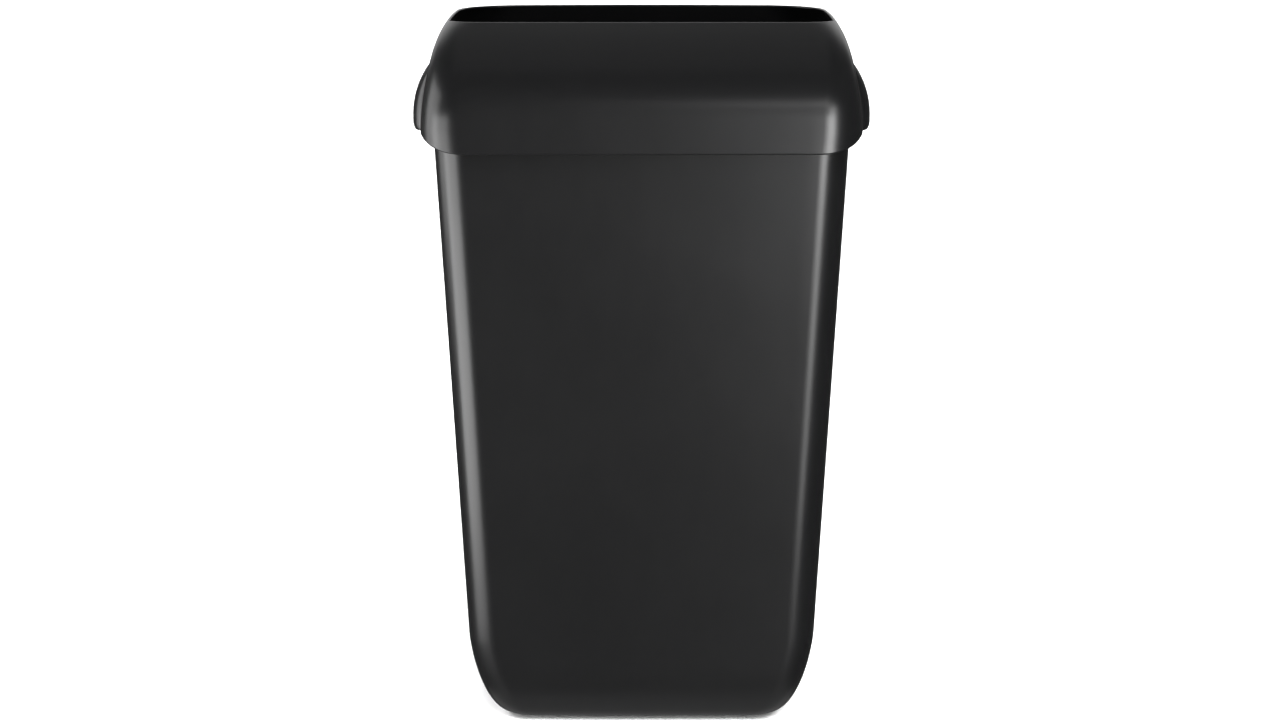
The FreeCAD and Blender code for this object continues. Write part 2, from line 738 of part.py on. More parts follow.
def hood():
    body = new_body("hood")
    start = cell("hood_front_hem")
    for hollow in (False, True):
        name = "hollow" if hollow else "shell"
        sections = [
            hood_section(body, f"{name}_level_{rise}", start + rise, hollow) for rise in HOOD_LEVELS
        ]
        loft(body, name, sections, cut=hollow)

    # The hem dips at the front: level along the sides, a swept bend, then a straight slope.
    hem = new_sketch(body, "YZ_Plane", "hem")
    depth, corner, sweep = cell("hood_depth_half"), cell("hood_front_corner_low"), cell("hem_sweep")
    slope = math.radians(cell("hem_slope").value)
    bend_drop = sweep * (1 - math.cos(slope))
    bend_run = sweep * math.sin(slope)
    rise = bend_drop + (corner - bend_run) * math.tan(slope)
    side_hem = start + rise
    far = Size(HEM_CUT_REACH)
    below = start - 10
    ends = [
        (corner - depth, side_hem),
        (far, side_hem),
        (far, below),
        (-depth, below),
        (-depth, start),
        (corner - depth - bend_run, side_hem - bend_drop),
    ]
    for (x0, z0), (x1, z1) in zip(ends, ends[1:]):
        hem.addGeometry(Part.LineSegment(Vector(x0.value, z0.value, 0), Vector(x1.value, z1.value, 0)))
    centre = Vector(ends[0][0].value, side_hem.value - sweep.value, 0)
    circle = Part.Circle(centre, Vector(0, 0, 1), sweep.value)
    bend = hem.addGeometry(Part.ArcOfCircle(circle, math.pi / 2, math.pi / 2 + slope))
    for number in range(bend - 1):
        hem.addConstraint(Sketcher.Constraint("Coincident", number, 2, number + 1, 1))
    hem.addConstraint(Sketcher.Constraint("Coincident", bend - 1, 2, bend, 2))
    hem.addConstraint(Sketcher.Constraint("Coincident", bend, 1, 0, 1))
    for number, (x, z) in enumerate(ends[:-1]):
        tie(hem, "DistanceX", (number, 1), x)
        tie(hem, "DistanceY", (number, 1), z)
    tie(hem, "DistanceX", (bend, 2), ends[-1][0])
    tie(hem, "DistanceY", (bend, 2), ends[-1][1])
    tie(hem, "Radius", (bend,), sweep)
    pocket(body, hem, cell("hood_half") * 2 + 20, symmetric=True)

    # Short ribs that stand on the tub's rim.
    ribs = new_sketch(body, "XY_Plane", "seat_ribs", rim_height + 0.3)
    half_gauge = SEAT_RIB_HALF_GAUGE
    for side in (-1, 1):
        side_span = sorted(side * x for x in SIDE_RIB_SPAN)
        end_span = sorted(side * y for y in END_RIB_SPAN)
        for y in SIDE_RIB_PLACES:
            add_box(ribs, *side_span, y - half_gauge, y + half_gauge)
        for x in END_RIB_PLACES:
            add_box(ribs, x - half_gauge, x + half_gauge, *end_span)
    pad(body, ribs, 5)

    holes = new_sketch(body, "YZ_Plane", "grip_screw_holes")
    for y in GRIP_SCREW_PLACES:
        add_circle(holes, y, GRIP_SCREW_LEVEL, 2.1)
    pocket(body, holes, cell("hood_half") * 2 + 20, symmetric=True)
    return body


def add_grip_outline(sketch, reach, bulge, low, high, inner):
    """The grip seen from the front: a bulging back, an upright lower part and the hood's side, which
    is a chain of (x, z) points that climbs from the grip's foot to its top."""
    centre = (reach - bulge, as_size(GRIP_KNEE))
    opening = math.asin((high.value - GRIP_KNEE) / bulge.value)
    top = Vector(centre[0].value + bulge.value * math.cos(opening), high.value, 0)
    bend = Vector(reach.value, GRIP_KNEE, 0)
    corners = [(reach, low)] + inner
    chain = [bend] + [Vector(x.value, z.value, 0) for x, z in corners] + [top]
    for start, end in zip(chain, chain[1:]):
        sketch.addGeometry(Part.LineSegment(start, end))
    circle = Part.Circle(Vector(centre[0].value, GRIP_KNEE, 0), Vector(0, 0, 1), bulge.value)
    arc = sketch.addGeometry(Part.ArcOfCircle(circle, 0, opening))
    last = len(corners)
    for number in range(last):
        sketch.addConstraint(Sketcher.Constraint("Coincident", number, 2, number + 1, 1))
    sketch.addConstraint(Sketcher.Constraint("Coincident", last, 2, arc, 2))
    sketch.addConstraint(Sketcher.Constraint("Coincident", arc, 1, 0, 1))
    sketch.addConstraint(Sketcher.Constraint("Horizontal", last))
    for number, (x, z) in enumerate(corners, start=1):
        tie(sketch, "DistanceX", (number, 1), x)
        tie(sketch, "DistanceY", (number, 1), z)
    tie(sketch, "DistanceX", (arc, 3), centre[0])
    tie(sketch, "DistanceY", (arc, 3), centre[1])
    tie(sketch, "DistanceY", (arc, 1), centre[1])


def grip(label):
    """The right-hand grip: a hollow scoop, open below, on the hood's side."""
    body = new_body(label)
    reach, bulge = cell("grip_reach"), cell("grip_bulge")
    low, high = cell("grip_bottom"), cell("grip_top")
    side_levels = [low, cell("side_lean_start"), as_size(590), as_size(606), as_size(619), high]
    hood_side = [(hood_half(z) + GRIP_GAP, z) for z in side_levels]
    outline = new_sketch(body, "XZ_Plane", "grip_outline", -GRIP_MIDDLE)
    add_grip_outline(outline, reach, bulge, low, high, hood_side)
    pad(body, outline, cell("grip_length"), symmetric=True)
    pocket_outline = new_sketch(body, "XZ_Plane", "grip_pocket", -GRIP_MIDDLE)
    pocket_side = [(as_size(GRIP_HOLLOW_START), low - 2), (as_size(GRIP_HOLLOW_START), high - wall)]
    add_grip_outline(pocket_outline, reach - wall, bulge - wall, low - 2, high - wall, pocket_side)
    hollow = pocket(body, pocket_outline, cell("grip_length") - wall * 2, symmetric=True)

    def end_edges(outermost):
        """Picks the upright edges at both ends of the bulging back, outside or inside."""

        def chosen(edge):
            box = edge.BoundBox
            return box.YLength < 0.1 and abs(box.XMax - outermost.value) < 0.1 and box.ZLength > 5

        return chosen

    end_radius = cell("grip_end_radius")
    inside = fillet(body, hollow, "grip_inner_ends", end_radius - wall, end_edges(reach - wall))
    fillet(body, inside, "grip_outer_ends", end_radius, end_edges(reach))

    bosses = new_sketch(body, "YZ_Plane", "grip_bosses", GRIP_BOSS_START)
    for y in GRIP_SCREW_PLACES:
        add_circle(bosses, y, GRIP_SCREW_LEVEL, 4)
    pad(body, bosses, GRIP_BOSS_LENGTH)
    pilots = new_sketch(body, "YZ_Plane", "grip_pilots", GRIP_HOLLOW_START)
    for y in GRIP_SCREW_PLACES:
        add_circle(pilots, y, GRIP_SCREW_LEVEL, 2)
    pocket(body, pilots, GRIP_PILOT_LENGTH, reverse=True)
    return body


def grip_screws():
    pieces = []
    inner_wall = hood_half(as_size(GRIP_SCREW_LEVEL)) - wall - 0.6
    for side in (-1, 1):
        outward = ALONG_X if side > 0 else Rotation(Vector(0, 1, 0), -90)
        inward = Rotation(Vector(0, 1, 0), -90) if side > 0 else ALONG_X
        for number, y in enumerate(GRIP_SCREW_PLACES, start=1):
            name = f"grip_screw_{'left' if side < 0 else 'right'}_{number}"
            place = (inner_wall * side, y, GRIP_SCREW_LEVEL)
            shank = {"Radius": 1.95, "Height": 12}
            head = {"Radius1": 4.2, "Radius2": 3, "Height": 2.2}
            pieces.append(part_object("Part::Cylinder", name + "_shank", shank, place, outward))
            pieces.append(part_object("Part::Cone", name + "_head", head, place, inward))
    return part_join("Part::MultiFuse", "grip_screws", pieces)


# ---------------------------------------------------------------- the assembly

pieces = [bin_body()]
for corner_name, (pad_x, pad_y) in PAD_PLACES.items():
    pieces.append(foot_pad("foot_pad_" + corner_name, pad_x, pad_y))
pieces.append(hanger_plate())
pieces.extend(hanger_fixings())
pieces.append(ring_clip("ring_clip_left", -1))
pieces.append(ring_clip("ring_clip_right", 1))
pieces.append(clip_screws())
pieces.append(ring_bow())
pieces.append(ring_hinge_bar())
pieces.append(hood())
right_grip = grip("grip_right")
pieces.append(right_grip)
left_grip = doc.addObject("Part::Mirroring", "grip_left")
left_grip.Label = "grip_left"
left_grip.Source = right_grip
left_grip.Normal = Vector(1, 0, 0)
pieces.append(left_grip)
pieces.append(grip_screws())
pieces.append(wall_bracket())

doc.recompute()
for item in doc.Objects:
    if "Invalid" in item.State or "Error" in item.State:
        raise RuntimeError(f"{item.Label} did not compute: {item.State}")
for piece in pieces:
    if piece.Shape.isNull() or not piece.Shape.isValid():
        raise RuntimeError(f"{piece.Label} has no valid shape")
for piece in pieces:
    piece.Shape.exportStep(f"parts/{piece.Label}.step")
    print(f"{piece.Label}: {len(piece.Shape.Solids)} solids, {piece.Shape.Volume / 1000:.1f} cm3")
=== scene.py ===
# %% [markdown]
# # An open-top litter bin in satin black plastic
#
# The bin is three mouldings: a tapered tub, a hood with an open top, and a finger grip on each side of
# the hood. Inside hangs a wire ring that holds the bag, and behind is the steel hanger with its wall
# bracket. The CAD model fixes every size. Here the mouldings are made again as smooth surfaces with their
# real roundings, because the looks of a black satin moulding are nearly all in how light runs over its
# corners and edges.

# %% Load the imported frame
import math

import bpy
import numpy as np
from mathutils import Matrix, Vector


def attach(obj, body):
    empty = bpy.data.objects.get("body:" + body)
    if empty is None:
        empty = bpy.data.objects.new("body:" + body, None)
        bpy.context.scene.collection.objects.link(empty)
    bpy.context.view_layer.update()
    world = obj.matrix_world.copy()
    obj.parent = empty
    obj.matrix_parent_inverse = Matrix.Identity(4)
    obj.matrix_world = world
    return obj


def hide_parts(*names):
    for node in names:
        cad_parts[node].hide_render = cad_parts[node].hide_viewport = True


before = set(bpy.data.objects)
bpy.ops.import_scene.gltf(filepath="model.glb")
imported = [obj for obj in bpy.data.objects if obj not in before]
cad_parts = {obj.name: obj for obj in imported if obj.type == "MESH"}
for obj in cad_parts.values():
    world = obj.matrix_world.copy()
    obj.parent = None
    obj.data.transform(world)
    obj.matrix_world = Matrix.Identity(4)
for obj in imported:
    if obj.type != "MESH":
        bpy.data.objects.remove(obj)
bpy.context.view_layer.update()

MM = 0.001

# %% [markdown]
# ## The sizes that the surfaces share
#
# Three sizes are used by more than one moulding: the whole height, the height of the tub's rim and the
# thickness of a moulded wall. They are in metres, as everything in Blender is. Each piece's own sizes
# stand in the cell that uses them first.

# %% Shared sizes
HEIGHT = 670 * MM
RIM = 600 * MM
WALL = 2.8 * MM
print(f"{HEIGHT / MM:.0f} mm tall, rim at {RIM / MM:.0f} mm, walls {WALL / MM:.1f} mm thick")

# %% [markdown]
# ## Making a mesh from whole arrays of points
#
# Every surface below is a grid of points worked out at once by a formula. This cell turns such a grid
# into a mesh: four neighbours make one face, and the grid closes on itself along either direction
# where the surface does. The same forms could be pushed into place by hand from a cube, but a formula
# states each size once, and its rows run the way the light will.

# %% Mesh helpers


def quads(rows, columns, wrap_rows=False, wrap_columns=False):
    """Face corners of a grid: each cell joins a point to its neighbours in the next row and column."""
    last_row = rows if wrap_rows else rows - 1
    last_column = columns if wrap_columns else columns - 1
    r, c = np.meshgrid(np.arange(last_row), np.arange(last_column), indexing="ij")
    r2, c2 = (r + 1) % rows, (c + 1) % columns
    faces = np.stack([r * columns + c, r * columns + c2, r2 * columns + c2, r2 * columns + c], axis=-1)
    return faces.reshape(-1, 4)


def make_piece(name, points, faces, flip=False):
    """A smooth-shaded mesh object from an array of points and an array of face corners. A mirrored
    grid comes out inside out, so flip turns its faces over."""
    points = np.asarray(points, float).reshape(-1, 3)
    faces = [face[::-1] for face in faces] if flip else list(faces)
    mesh = bpy.data.meshes.new(name)
    mesh.from_pydata(points.tolist(), [], [[int(i) for i in face] for face in faces])
    mesh.polygons.foreach_set("use_smooth", np.ones(len(mesh.polygons), bool))
    mesh.update()
    piece = bpy.data.objects.new(name, mesh)
    bpy.context.scene.collection.objects.link(piece)
    print(f"{name}: {len(points)} points, {len(faces)} faces")
    return piece


def pole_grid(grid):
    """Points and faces of a closed band whose first and last rows shrink to one point each."""
    rows, columns = grid.shape[:2]
    inner = grid[1:-1]
    points = np.vstack([inner.reshape(-1, 3), grid[0].mean(0)[None], grid[-1].mean(0)[None]])
    faces = [tuple(face) for face in quads(rows - 2, columns, wrap_columns=True)]
    first, last = len(points) - 2, len(points) - 1
    base = (rows - 3) * columns
    for c in range(columns):
        after = (c + 1) % columns
        faces.append((first, after, c))
        faces.append((last, base + c, base + after))
    return points, faces


def arc(start, stop, count, ends=True):
    """Evenly spaced angles: start and stop in degrees, the result in radians."""
    return np.radians(np.linspace(start, stop, count, endpoint=ends))


def unit(vectors):
    """The same directions with length 1: each vector divided by its length."""
    return vectors / np.linalg.norm(vectors, axis=-1, keepdims=True)


print("one quarter turn in three steps", arc(0, 90, 4).round(3))

# %% [markdown]
# ## The outline seen from above
#
# Tub and hood share one idea: a rectangle with round corners. It is drawn once as a list of columns, each
# of which lies on a corner's arc or on the straight run to the next corner. A level's half width, its
# reach to the front and to the back and its corner radius then place every column. Real mouldings are
# never quite flat, so each run swells outward by about a millimetre, which is what makes a reflection
# drift slowly over a big face. A bevelled box has the same plan, but its corners keep one radius all the
# way up, and these do not.

# %% The rounded rectangle


class Outline:
    """The columns of a rounded rectangle, from the front right corner round to the front."""

    def __init__(self, corner_columns, side_columns, front_columns):
        """For every column: the angle, side and end of its corner, the same of the next corner, and
        how far along the run between the two it lies, which is 0 on an arc."""
        turns = [(-90, 1, -1), (0, 1, 1), (90, -1, 1), (180, -1, -1)]
        angle, side, end, after_angle, after_side, after_end, along = [], [], [], [], [], [], []
        for number, (start, sx, sy) in enumerate(turns):
            next_start, next_sx, next_sy = turns[(number + 1) % 4]
            run = front_columns if number % 2 else side_columns
            turn = arc(start, start + 90, corner_columns)
            fractions = np.arange(1, run + 1) / (run + 1)
            angle += [turn, np.full(run, turn[-1])]
            side.append(np.full(corner_columns + run, sx))
            end.append(np.full(corner_columns + run, sy))
            after_angle.append(np.full(corner_columns + run, math.radians(next_start)))
            after_side.append(np.full(corner_columns + run, next_sx))
            after_end.append(np.full(corner_columns + run, next_sy))
            along += [np.zeros(corner_columns), fractions]
        self.angle, self.after_angle = np.concatenate(angle), np.concatenate(after_angle)
        self.side, self.after_side = np.concatenate(side), np.concatenate(after_side)
        self.end, self.after_end = np.concatenate(end), np.concatenate(after_end)
        self.along = np.concatenate(along)
        self.columns = len(self.along)

    def at(self, half, front, back, radius, back_radius=None, bow=0.0):
        """Arc point: corner centre plus radius at the column's angle. Run point: the straight mix of
        the two arc ends beside it, pushed outward by bow times a parabola that is 1 halfway."""
        radii = (radius, radius if back_radius is None else back_radius)
        sizes = (half, front, back, radii)
        x, y = self.corner_point(self.side, self.end, self.angle, *sizes)
        x2, y2 = self.corner_point(self.after_side, self.after_end, self.after_angle, *sizes)
        mix = self.along
        swell = bow * 4 * mix * (1 - mix)
        return (
            x + (x2 - x) * mix + swell * np.cos(self.angle),
            y + (y2 - y) * mix + swell * np.sin(self.angle),
        )

    @staticmethod
    def corner_point(side, end, angle, half, front, back, radii):
        """The corner's centre plus its radius times cos(a) and sin(a). Front and back differ."""
        reach = np.where(end < 0, front, back)
        radius = np.where(end < 0, *radii)
        x = side * (half - radius) + radius * np.cos(angle)
        y = end * (reach - radius) + radius * np.sin(angle)
        return x, y


outline = Outline(corner_columns=17, side_columns=16, front_columns=28)
print("outline columns", outline.columns)

# %% [markdown]
# ## The tub
#
# The tub is one skin, followed from the middle of the underside, out round the bottom, up the wall, over
# the rolled rim and down inside to the middle of the floor. The rim is a real gutter turned down outside
# the wall, with round edges, because a lifted hood would show it. It could be a tapered box with a
# Solidify modifier, but then the rim and the wide rounding at the foot would need cutting and bevelling,
# and here both are rows of the same grid. First comes the rim, drawn as a cut through it.

# %% The rolled rim
LIP_OUTSIDE = 4.5 * MM
LIP_INSIDE = 2.5 * MM
GUTTER_TOP = RIM - 2.4 * MM
LIP_FOOT = RIM - 12 * MM
RIM_START = LIP_FOOT - 10 * MM
OUTER_ROUND = 2.4 * MM
INNER_ROUND = 0.9 * MM


def corner_arc(centre_out, centre_z, radius, start, stop, count=6):
    """Points of a small arc in the plane of outset and height."""
    turn = arc(start, stop, count)
    return np.stack([centre_out + radius * np.cos(turn), centre_z + radius * np.sin(turn)], axis=1)


def straight(start, stop, count):
    """Evenly spaced points on a straight run, without its last one."""
    share = np.linspace(0, 1, count, endpoint=False)[:, None]
    return np.array(start) * (1 - share) + np.array(stop) * share


def rim_profile():
    """Outset and height of the rolled rim: up the wall, out under the gutter's roof, down its lip,
    round the lip's foot, up its outside, over the top and in to the wall's inner face."""
    half_lip = (LIP_OUTSIDE - LIP_INSIDE) / 2
    lip_middle = (LIP_INSIDE + LIP_OUTSIDE) / 2
    gutter_bend = GUTTER_TOP - INNER_ROUND
    return np.vstack(
        [
            straight((0, RIM_START), (0, gutter_bend), 8),
            corner_arc(INNER_ROUND, gutter_bend, INNER_ROUND, 180, 90, 4),
            corner_arc(LIP_INSIDE - INNER_ROUND, gutter_bend, INNER_ROUND, 90, 0, 4),
            straight((LIP_INSIDE, GUTTER_TOP - 2 * MM), (LIP_INSIDE, LIP_FOOT + half_lip), 4),
            corner_arc(lip_middle, LIP_FOOT + half_lip, half_lip, 180, 360, 9),
            straight((LIP_OUTSIDE, LIP_FOOT + 3 * MM), (LIP_OUTSIDE, RIM - OUTER_ROUND - 1 * MM), 4),
            corner_arc(LIP_OUTSIDE - OUTER_ROUND, RIM - OUTER_ROUND, OUTER_ROUND, 0, 90, 9),
            straight((1 * MM, RIM), (-WALL + 2 * MM, RIM), 3),
            corner_arc(-WALL + INNER_ROUND, RIM - INNER_ROUND, INNER_ROUND, 90, 180, 6),
        ]
    )


print("rim profile", len(rim_profile()), "points")

# %% [markdown]
# The rim is a part of the list of the tub's levels. Each level has four numbers: how far it stands out
# from the wall's outer face, its height, the floor that its rounding runs down to, and a scale, which
# draws the underside and the inside floor together towards their middle. The wall tapers in a straight
# line, and a quarter of a superellipse joins it to the floor: a plain ellipse has no power to choose, and
# this rounding is fuller than one at the front and leaner at the sides.

# %% The levels of the tub
UNDERSIDE = 3 * MM
INSIDE_START = RIM - 4 * MM
SIDE_ROUND = {"height": 85 * MM, "reach": 29.3 * MM, "power": 1.62}
FRONT_ROUND = {"height": 58 * MM, "reach": 25 * MM, "power": 2.5}
FLOOR_SHARES = np.array([0.0, 0.3, 0.6, 0.85])


def tub_rows():
    """Outset, height, floor height and scale of every level of the tub's skin, from the middle of
    the underside to the middle of the inside floor."""
    shoulder = UNDERSIDE + SIDE_ROUND["height"]
    inner_floor = UNDERSIDE + WALL
    rim = rim_profile()
    wall_up = np.linspace(shoulder, RIM_START, 26)[1:-1]
    wall_down = np.linspace(INSIDE_START, shoulder, 22)[:-1]
    outside_turn = shoulder - (shoulder - UNDERSIDE) * np.sin(arc(90, 0, 26))
    inside_turn = shoulder - (shoulder - inner_floor) * np.sin(arc(0, 90, 20))
    whole = np.ones(1)
    parts = [
        (0.0, UNDERSIDE + 0 * FLOOR_SHARES, UNDERSIDE, FLOOR_SHARES),
        (0.0, outside_turn, UNDERSIDE, whole),
        (0.0, wall_up, UNDERSIDE, whole),
        (rim[:, 0], rim[:, 1], UNDERSIDE, whole),
        (-WALL, wall_down, inner_floor, whole),
        (-WALL, inside_turn, inner_floor, whole),
        (-WALL, inner_floor + 0 * FLOOR_SHARES, inner_floor, FLOOR_SHARES[::-1]),
    ]
    rows = []
    for part in parts:
        count = len(part[1])
        rows.append(np.stack([np.broadcast_to(column, count) for column in part], axis=1))
    return [column[:, None] for column in np.concatenate(rows).T]


def drawn_in(z, floor, rounding):
    """A quarter of a superellipse: the reach times 1 - (1 - d^p)^(1/p), where the depth d runs from
    0 at the shoulder to 1 at the floor and p is the power."""
    shoulder = UNDERSIDE + rounding["height"]
    depth = np.clip((shoulder - z) / (shoulder - floor), 0, 1)
    power = rounding["power"]
    return rounding["reach"] * (1 - (1 - depth**power) ** (1 / power))


print("tub levels", len(tub_rows()[0]))

# %% [markdown]
# Now every level gets its outline. The sizes are pairs, at the ground and at the rim, and the walls run
# straight between them. The corner's radius is a pair of its own: above the rounding and at the floor.

# %% Tub surface
TUB_HALF = (161.5 * MM, 189 * MM)
TUB_FRONT = (99 * MM, 136 * MM)
TUB_BACK = (118 * MM, 136 * MM)
TUB_CORNER = (29 * MM, 32 * MM)
TUB_BOW = 1.0 * MM


def tub_grid():
    """Each level is the outline at the taper's width for its height, drawn in by the rounding."""
    outset, z, floor, scale = tub_rows()
    rise = z / RIM
    depth = np.clip((UNDERSIDE + SIDE_ROUND["height"] - z) / SIDE_ROUND["height"], 0, 1)

    def taper(ends):
        return ends[0] + (ends[1] - ends[0]) * rise + outset

    x, y = outline.at(
        taper(TUB_HALF) - drawn_in(z, floor, SIDE_ROUND),
        taper(TUB_FRONT) - drawn_in(z, floor, FRONT_ROUND),
        taper(TUB_BACK) - drawn_in(z, floor, FRONT_ROUND),
        TUB_CORNER[0] + (TUB_CORNER[1] - TUB_CORNER[0]) * depth + outset,
        bow=TUB_BOW,
    )
    middle = (y.min(axis=1, keepdims=True) + y.max(axis=1, keepdims=True)) / 2
    return np.stack([x * scale, middle + (y - middle) * scale, z + 0 * x], axis=-1)


points, faces = pole_grid(tub_grid())
tub = make_piece("tub", points, faces)
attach(tub, "bin")
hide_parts("bin_body")

# %% [markdown]
# ## The hood
#
# The hood's outer skin runs from its hem to its mouth. The hem is level at the sides and dips at the
# front, with a sweep round each front corner. The inner skin is the outer one moved in along its own
# normals by the wall's thickness, so the wall is even where the front leans. Half round edges close the
# two skins at the hem and at the mouth, and that edge catches the light as a thin bright line. A Solidify
# modifier would give the wall too, but it leaves its edges square.
#
# First come the curves that shape it. Each says how far the hood reaches at a height: straight at the
# skirt, then leaning in with a power of the height, most of all at the front.

# %% The curves of the hood
HOOD_HALF = 199.2 * MM
HOOD_DEPTH = 145 * MM
HOOD_FRONT_CORNER = (40 * MM, 29 * MM)
HOOD_BACK_CORNER = (36 * MM, 58 * MM)
HEM_FRONT = 558 * MM
HEM_RUN = 39 * MM
HEM_SLOPE = math.radians(25.2)
HEM_SWEEP = 40 * MM

SIDE_LEAN_START = 577 * MM
SIDE_LEAN = 14 * MM
SIDE_LEAN_POWER = 1.3
SIDE_ROLL = 7.7 * MM
SIDE_ROLL_POWER = 6.9
FRONT_LEAN_START = 588 * MM
FRONT_LEAN = 78 * MM
FRONT_LEAN_POWER = 2.15
BACK_LEAN_START = 598 * MM
BACK_LEAN = 15 * MM
BACK_LEAN_POWER = 1.5


def hood_share(z, start):
    """How far a height lies on the way up: 0 at the start and below, 1 at the mouth."""
    return np.clip((z - start) / (HEIGHT - start), 0, 1)


def hood_half(z):
    """The skirt's half width, less a lean that starts early and a roll that comes near the mouth."""
    rise = hood_share(z, SIDE_LEAN_START)
    return HOOD_HALF - SIDE_LEAN * rise**SIDE_LEAN_POWER - SIDE_ROLL * rise**SIDE_ROLL_POWER


def hood_front(z):
    """The skirt's reach, less the front's lean times a power of the way up."""
    return HOOD_DEPTH - FRONT_LEAN * hood_share(z, FRONT_LEAN_START) ** FRONT_LEAN_POWER


def hood_back(z):
    """The skirt's reach, less the back's smaller lean times a power of the way up."""
    return HOOD_DEPTH - BACK_LEAN * hood_share(z, BACK_LEAN_START) ** BACK_LEAN_POWER


def hood_corners(z):
    """The front corners tighten towards the mouth; the back ones grow rounder above the rim."""
    front, back = HOOD_FRONT_CORNER, HOOD_BACK_CORNER
    return (
        front[0] + (front[1] - front[0]) * hood_share(z, HEM_FRONT),
        back[0] + (back[1] - back[0]) * hood_share(z, BACK_LEAN_START),
    )


def hem_height(y):
    """From the front: a straight slope, then a circle's arc that is level at the corners' start."""
    bend_run = HEM_SWEEP * math.sin(HEM_SLOPE)
    bend_drop = HEM_SWEEP * (1 - math.cos(HEM_SLOPE))
    side_hem = HEM_FRONT + bend_drop + (HEM_RUN - bend_run) * math.tan(HEM_SLOPE)
    forward = np.clip(-y - (HOOD_DEPTH - HEM_RUN), 0, HEM_RUN)
    on_bend = HEM_SWEEP - np.sqrt(HEM_SWEEP**2 - np.minimum(forward, bend_run) ** 2)
    return side_hem - on_bend - np.maximum(forward - bend_run, 0) * math.tan(HEM_SLOPE)


print(f"hem at {hem_height(0.0) / MM:.1f} mm on the sides and {HEM_FRONT / MM:.1f} mm in front")
print(f"mouth {2 * hood_half(HEIGHT) / MM:.1f} mm wide")

# %% [markdown]
# A wall needs its normals: at each point, the direction square to the surface, found as the cross product
# of the way round and the way up.

# %% A wall with half round edges


def surface_normals(grid):
    """Unit normals of a band that closes on itself: the cross product of its two directions."""
    around = np.roll(grid, -1, axis=1) - np.roll(grid, 1, axis=1)
    upward = np.gradient(grid, axis=0)
    return unit(np.cross(around, upward))


def double_skin(outer, thickness, edge_steps=6):
    """A closed band with a wall: the outer skin, a half round upper edge, the inner skin and a half
    round lower edge. An edge point is the wall's middle plus half the wall times
    cos(a) of the normal and sin(a) of the direction out of the edge."""
    normal = surface_normals(outer)
    inner = outer - thickness * normal
    half = thickness / 2
    turn = arc(0, 180, edge_steps + 2)[1:-1, None, None]
    top_out, low_out = unit(outer[-1] - outer[-2]), unit(outer[0] - outer[1])
    top = outer[-1] - half * normal[-1] + half * (np.cos(turn) * normal[-1] + np.sin(turn) * top_out)
    low = outer[0] - half * normal[0] + half * (-np.cos(turn) * normal[0] + np.sin(turn) * low_out)
    return np.concatenate([outer, top, inner[::-1], low])


# %% [markdown]
# Now the hood itself. Each column starts at the hem's height where it stands and climbs to the mouth. The
# rows lie closer together at both ends, where the form turns most, so the mesh stays light in between.

# %% Hood surface
HOOD_BOW = 0.8 * MM


def hood_grid():
    """Rows climb from the hem to the mouth, closer together at both ends; a column's hem comes from
    where the column stands in the skirt."""
    _, skirt_y = outline.at(HOOD_HALF, HOOD_DEPTH, HOOD_DEPTH, *hood_corners(HEM_FRONT))
    lowest = hem_height(skirt_y)[None, :] + WALL / 2
    highest = HEIGHT - WALL / 2
    share = (1 - np.cos(arc(0, 180, 60)))[:, None] / 2
    z = lowest + (highest - lowest) * share
    x, y = outline.at(hood_half(z), hood_front(z), hood_back(z), *hood_corners(z), bow=HOOD_BOW)
    return np.stack([x, y, z], axis=-1)


skin = double_skin(hood_grid(), WALL)
hood = make_piece("hood_shell", skin, quads(*skin.shape[:2], wrap_rows=True, wrap_columns=True))
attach(hood, "hood")
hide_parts("hood")

# %% [markdown]
# ## The finger grips
#
# Each grip is a hollow scoop, open below, that swells out of the hood's side. Its back follows a circle
# from the top and is upright lower down. Seen from above its ends are round, so the swelling is the
# circle's reach times a soft-cornered bump along the grip. It could be cut out of a squashed ball with
# Boolean modifiers, but those leave ragged faces where it melts into the hood, and the formula doesn't.

# %% Grip surfaces
GRIP_REACH = 214 * MM
GRIP_LOW = 568 * MM
GRIP_KNEE = 580 * MM
GRIP_TOP = 636 * MM
GRIP_ROOF = 4 * MM
GRIP_BULGE = 78 * MM
GRIP_MIDDLE = 5 * MM
GRIP_HALF_LENGTH = 62 * MM
GRIP_SINK = 0.6 * MM
GRIP_END_POWERS = (5, 2.3)
GRIP_FOOT = {"height": 6 * MM, "reach": 2.2 * MM}


def grip_swell(z):
    """How far the grip stands off the hood's side: a circle's reach above the knee, upright below
    it, less a small parabola at the foot."""
    above = np.clip(z - GRIP_KNEE, 0, GRIP_BULGE)
    back = GRIP_REACH - GRIP_BULGE + np.sqrt(GRIP_BULGE**2 - above**2)
    foot = np.clip(1 - (z - GRIP_LOW) / GRIP_FOOT["height"], 0, 1)
    return np.maximum(back - GRIP_FOOT["reach"] * foot**2 - hood_half(z), 0)


def grip_skin(side, inset, low, high, rows=34, columns=64):
    """x is the hood's side plus the swell times (1 - |u|^p)^(1/q), where u runs from -1 to 1 along
    the grip and p, q are its end powers. The inner skin is the same form, smaller by the wall."""
    u = -np.cos(arc(0, 180, columns))[None, :]
    z = np.linspace(low, high, rows)[:, None]
    flatness, root = GRIP_END_POWERS
    bump = (1 - np.abs(u) ** flatness) ** (1 / root)
    x = hood_half(z) - GRIP_SINK + np.maximum(grip_swell(z) - inset, 0) * bump + 0 * u
    y = GRIP_MIDDLE + u * (GRIP_HALF_LENGTH - inset) + 0 * z
    return np.stack([side * x, y, z + 0 * u], axis=-1)


